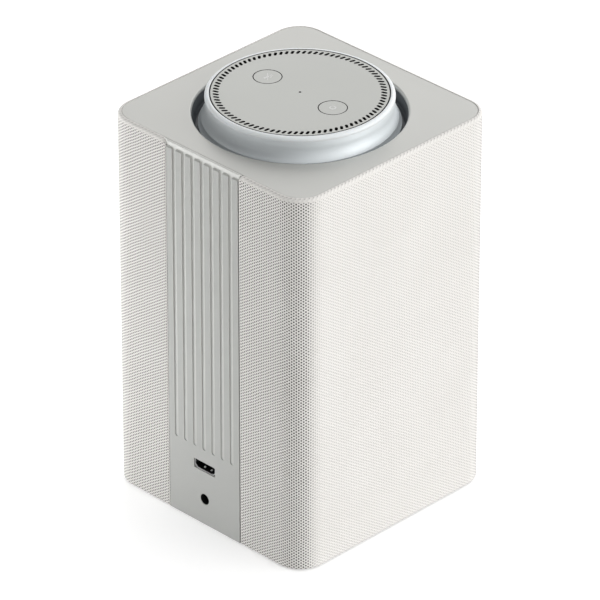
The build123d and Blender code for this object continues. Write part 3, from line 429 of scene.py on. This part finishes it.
def cloth_sleeve():
    """One sheet stretched round the four sides, open at the back, hemmed at the top and bottom."""
    columns = column_places()
    vertices, uvs = [], []
    for s in columns:
        point, normal = around(s)
        profile = cloth_profile(min(s, CLOTH_LENGTH - s))
        for depth, z, v in profile:
            place = point - normal * depth
            vertices.append((place.x, place.y, z))
            uvs.append((s / MM, v / MM))
    rows = len(profile)
    faces = []
    for i in range(len(columns) - 1):
        for j in range(rows):
            k = (j + 1) % rows
            faces.append((i * rows + j, i * rows + k, (i + 1) * rows + k, (i + 1) * rows + j))
    faces.append(tuple(range(rows)))
    faces.append(tuple((len(columns) - 1) * rows + j for j in reversed(range(rows))))
    sleeve = make_piece("knitted_sleeve", vertices, faces, MATERIALS["cloth"], "cabinet")
    layer = sleeve.data.uv_layers.new(name="UVMap")
    loops = np.empty(len(sleeve.data.loops), int)
    sleeve.data.loops.foreach_get("vertex_index", loops)
    layer.data.foreach_set("uv", np.array(uvs)[loops].ravel())
    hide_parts("fabric_sleeve")


cloth_sleeve()


# ================================================================ what shows inside the two sockets
def turned(name, outline, centre, material, slot, count=32):
    """A closed outline (radius, y), in millimetres, turned about a line along Y through centre."""
    vertices, faces = [], []
    for i in range(count):
        a = 2 * pi * i / count
        vertices += [(centre.x + r * cos(a) * MM, y * MM, centre.z + r * sin(a) * MM) for r, y in outline]
    rows = len(outline)
    for i in range(count):
        for j in range(rows):
            here, after = i * rows, (i + 1) % count * rows
            k = (j + 1) % rows
            faces.append((here + j, after + j, after + k, here + k))
    return make_piece(name, vertices, faces, material, "cabinet", smooth=False)


jack_low, jack_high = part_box("dc_jack")
SLEEVE = [(2.75, 66.6), (3.1, 66.6), (3.1, 70.2), (3.0, 70.3), (2.75, 70.3)]
turned("jack_sleeve", SLEEVE, (jack_low + jack_high) / 2, PORT_FINISH["port_plastic"], "dark_plastic")
# two sprung fingers on the floor of the HDMI socket, 2.4 mm behind its mouth
FINGER = [(0.05, 66.9), (0.5, 67.1), (0.62, 67.5), (0.5, 67.9), (0.05, 68.1)]
finger_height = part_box("hdmi_socket")[0].z + 0.6 * MM
for name, x in (("hdmi_finger_left", -2.5), ("hdmi_finger_right", 2.5)):
    turned(name, FINGER, Vector((x * MM, 0, finger_height)), PORT_FINISH["spring"], "steel", 16)


# ================================================================ icons printed on the two buttons
def arc(centre, radius, start, end, count=24):
    """Points on an arc, angles in degrees."""
    angles = [radians(start + (end - start) * i / count) for i in range(count + 1)]
    return [(centre[0] + radius * cos(a), centre[1] + radius * sin(a)) for a in angles]


def band(centre, radius, width, start, end):
    """Outline of a curved stroke."""
    return arc(centre, radius + width / 2, start, end) + arc(centre, radius - width / 2, end, start)


def stroke(a, b, width):
    """Outline of a straight stroke with round ends."""
    direction = degrees(atan2(b[1] - a[1], b[0] - a[0]))
    far_end = arc(b, width / 2, direction - 90, direction + 90, 8)
    return far_end + arc(a, width / 2, direction + 90, direction + 270, 8)


def printed_icon(name, outlines, centre, body):
    """Thin raised ink on a button: each outline, in millimetres, lies a little higher than the one before."""
    vertices, faces = [], []
    for layer, outline in enumerate(outlines):
        first, count = len(vertices), len(outline)
        for z in (DISC_TOP - 0.05 * MM, DISC_TOP + (0.02 + 0.004 * layer) * MM):
            vertices += [(centre[0] + x * MM, centre[1] + y * MM, z) for x, y in outline]
        faces.append(tuple(first + count + i for i in range(count)))
        faces += [(first + i, first + (i + 1) % count, first + count + (i + 1) % count, first + count + i)
                  for i in range(count)]
    return make_piece(name, vertices, faces, INK, body, smooth=False)


INK = surface("ink", (0.60, 0.60, 0.59), 0.5, grain=6.0)
microphone = [
    stroke((0, -0.2), (0, 1.9), 1.5),
    band((0, -0.1), 1.75, 0.5, 180, 360),
    stroke((0, -1.95), (0, -2.8), 0.5),
    stroke((-1.1, -2.8), (1.1, -2.8), 0.5),
    stroke((-2.6, 2.6), (2.6, -2.6), 0.55),
]
printed_icon("mute_icon", microphone, (mute_low + mute_high) / 2, "mute_key")
printed_icon("action_icon", [band((0, 0), 1.5, 0.8, 0, 180), band((0, 0), 1.5, 0.8, 180, 360)],
             (action_low + action_high) / 2, "action_key")


# ================================================================ camera, floor and light
AZIMUTH, ELEVATION = radians(224.82), radians(30.39)
CAMERA_DISTANCE = 3.107
AIM = Vector((0, 0, 0.10765))
ORBIT_CENTRE = Vector((0, 0, 0.1155))
LIGHT_AIM = Vector((0, 0, 0.12))
back = Vector((sin(AZIMUTH) * cos(ELEVATION), -cos(AZIMUTH) * cos(ELEVATION), sin(ELEVATION)))
RIGHT = Vector((0, 0, 1)).cross(back).normalized()
camera = bpy.data.objects.new("camera", bpy.data.cameras.new("camera"))
bpy.context.scene.collection.objects.link(camera)
camera.data.sensor_width = 36
camera.data.lens = 358.2
camera.data.clip_start, camera.data.clip_end = 0.1, 50
camera.location = ORBIT_CENTRE + back * CAMERA_DISTANCE
camera.rotation_euler = (camera.location - AIM).to_track_quat("Z", "Y").to_euler()
bpy.context.scene.camera = camera


def soft_light(name, place, size, power, seen=True):
    """A square white softbox that faces the speaker; if it isn't seen, it doesn't show in glossy surfaces."""
    data = bpy.data.lights.new(name, "AREA")
    data.size, data.energy = size, power
    light = bpy.data.objects.new(name, data)
    light.location = place
    light.rotation_euler = (place - LIGHT_AIM).to_track_quat("Z", "Y").to_euler()
    light.visible_glossy = seen
    bpy.context.scene.collection.objects.link(light)


def floor():
    """A large pale floor."""
    n = Nodes("floor")
    n.finish(Base_Color=n.mix(n.noise(0.004), (0.80, 0.80, 0.80), (0.82, 0.82, 0.82)), Roughness=0.9,
             Emission_Color=(1.0, 1.0, 1.0), Emission_Strength=0.3)
    size = 12.0
    mesh = bpy.data.meshes.new("floor")
    corners = [(-size, -size, 0), (size, -size, 0), (size, size, 0), (-size, size, 0)]
    mesh.from_pydata(corners, [], [(0, 1, 2, 3)])
    mesh.materials.append(n.material)
    ground = bpy.data.objects.new("floor", mesh)
    bpy.context.scene.collection.objects.link(ground)


def studio_world():
    """A white room: dark towards the camera's left, bright to its right and overhead."""
    world = bpy.data.worlds.new("studio")
    bpy.context.scene.world = world
    world.use_nodes = True
    tree = world.node_tree
    direction = tree.nodes.new("ShaderNodeTexCoord").outputs["Generated"]

    def lobe(axis, low, high, darkest, brightest):
        """Brightness that rises with the direction's part along an axis."""
        along = tree.nodes.new("ShaderNodeVectorMath")
        along.operation = "DOT_PRODUCT"
        along.inputs[1].default_value = axis
        tree.links.new(direction, along.inputs[0])
        level = tree.nodes.new("ShaderNodeMapRange")
        level.interpolation_type = "SMOOTHSTEP"
        for key, value in {"From Min": low, "From Max": high, "To Min": darkest, "To Max": brightest}.items():
            level.inputs[key].default_value = value
        tree.links.new(along.outputs["Value"], level.inputs["Value"])
        return level.outputs["Result"]

    total = lobe(RIGHT, -0.5, 0.8, 0.09, 1.35)
    for more in (lobe((0, 0, 1), 0.35, 0.9, 0.0, 0.3), lobe(-back, 0.0, 0.8, 0.0, 0.5)):
        add = tree.nodes.new("ShaderNodeMath")
        tree.links.new(total, add.inputs[0])
        tree.links.new(more, add.inputs[1])
        total = add.outputs[0]
    tree.links.new(total, tree.nodes["Background"].inputs["Strength"])
    tree.nodes["Background"].inputs["Color"].default_value = (1, 1, 1, 1)


floor()
studio_world()
soft_light("key", RIGHT * 1.4 + back * 0.6, 0.9, 6.5)
soft_light("left", Vector((0.33, 0.24, 0.08)), 0.3, 1.6, seen=False)
soft_light("upper_left", Vector((0.70, 0.60, 0.86)), 0.4, 0.5)
soft_light("behind", Vector((0.45, -0.45, 0.52)), 0.5, 0.5)
soft_light("overhead", back * 1.1 + Vector((0, 0, 1.5)), 1.2, 2.4)
bpy.context.scene.view_settings.view_transform = "Standard"
